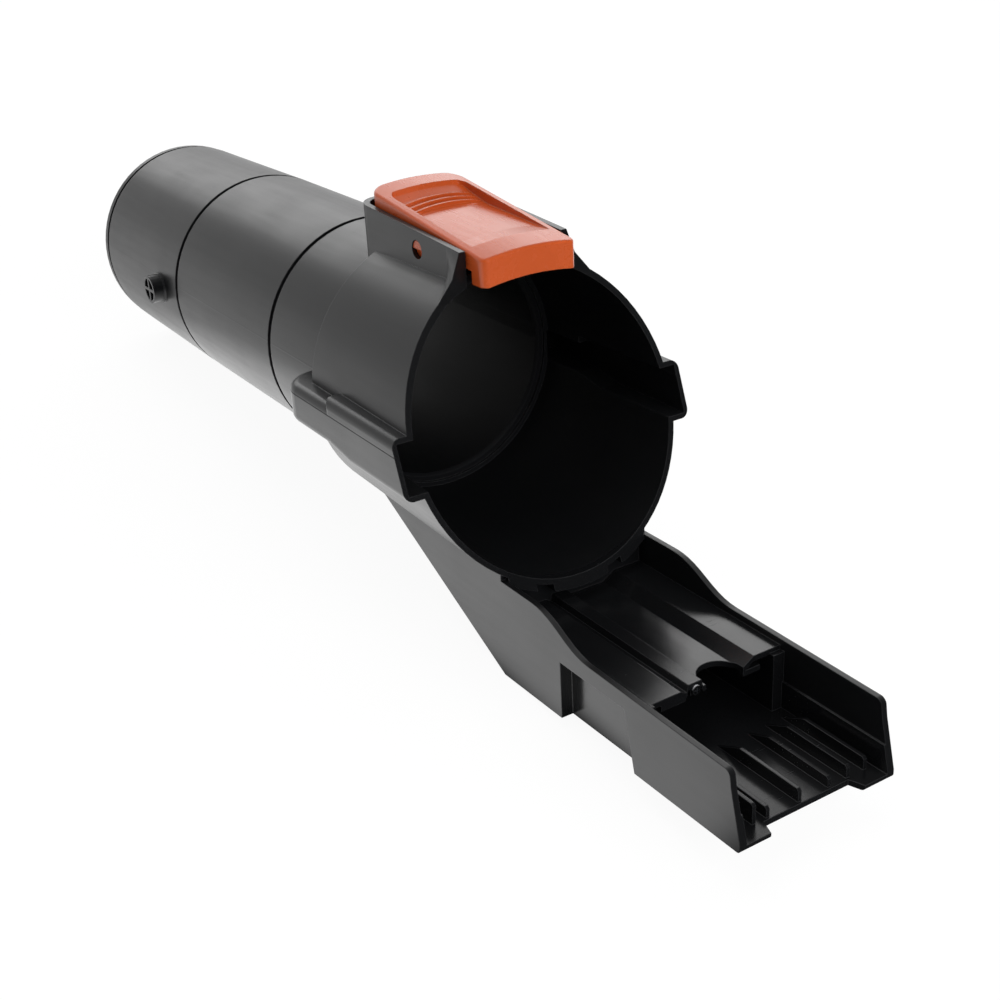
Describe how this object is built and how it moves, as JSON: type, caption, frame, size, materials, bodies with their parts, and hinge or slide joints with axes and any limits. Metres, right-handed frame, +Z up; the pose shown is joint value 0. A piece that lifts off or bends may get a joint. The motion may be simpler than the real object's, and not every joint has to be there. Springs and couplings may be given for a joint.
{
  "type": "leaf blower nozzle tube",
  "caption": "Straight round blower tube with an oblique latching socket mouth, a channel tray under it and an orange thumb latch on top.",
  "frame": {"origin": "middle of the bounding box at the surface the part lies on", "axes": "+Y along the tube, level, from the mouth towards the far end, +X to the right seen from the mouth with the latch on top, +Z up"},
  "size_m": [0.1428, 0.5636, 0.171],
  "materials": {
    "body": "black polypropylene, satin with a fine moulded grain",
    "latch": "orange, semi-gloss",
    "spring": "drawn spring wire",
    "screw": "zinc plated"
  },
  "bodies": {
    "housing": {"tube_housing": "body", "latch_spring": "spring", "rail_screw": "screw"},
    "latch": {"latch": "latch"}
  },
  "joints": [
    {"name": "latch_pivot", "type": "hinge", "parent": "housing", "child": "latch", "pos_m": [0, -0.04665, 0.15791], "axis": [-1, 0, 0], "range_deg": [0, 8], "stiffness_Nm_per_rad": 1.4, "springref_deg": -6.88, "deforming": ["latch_spring"]}
  ]
}
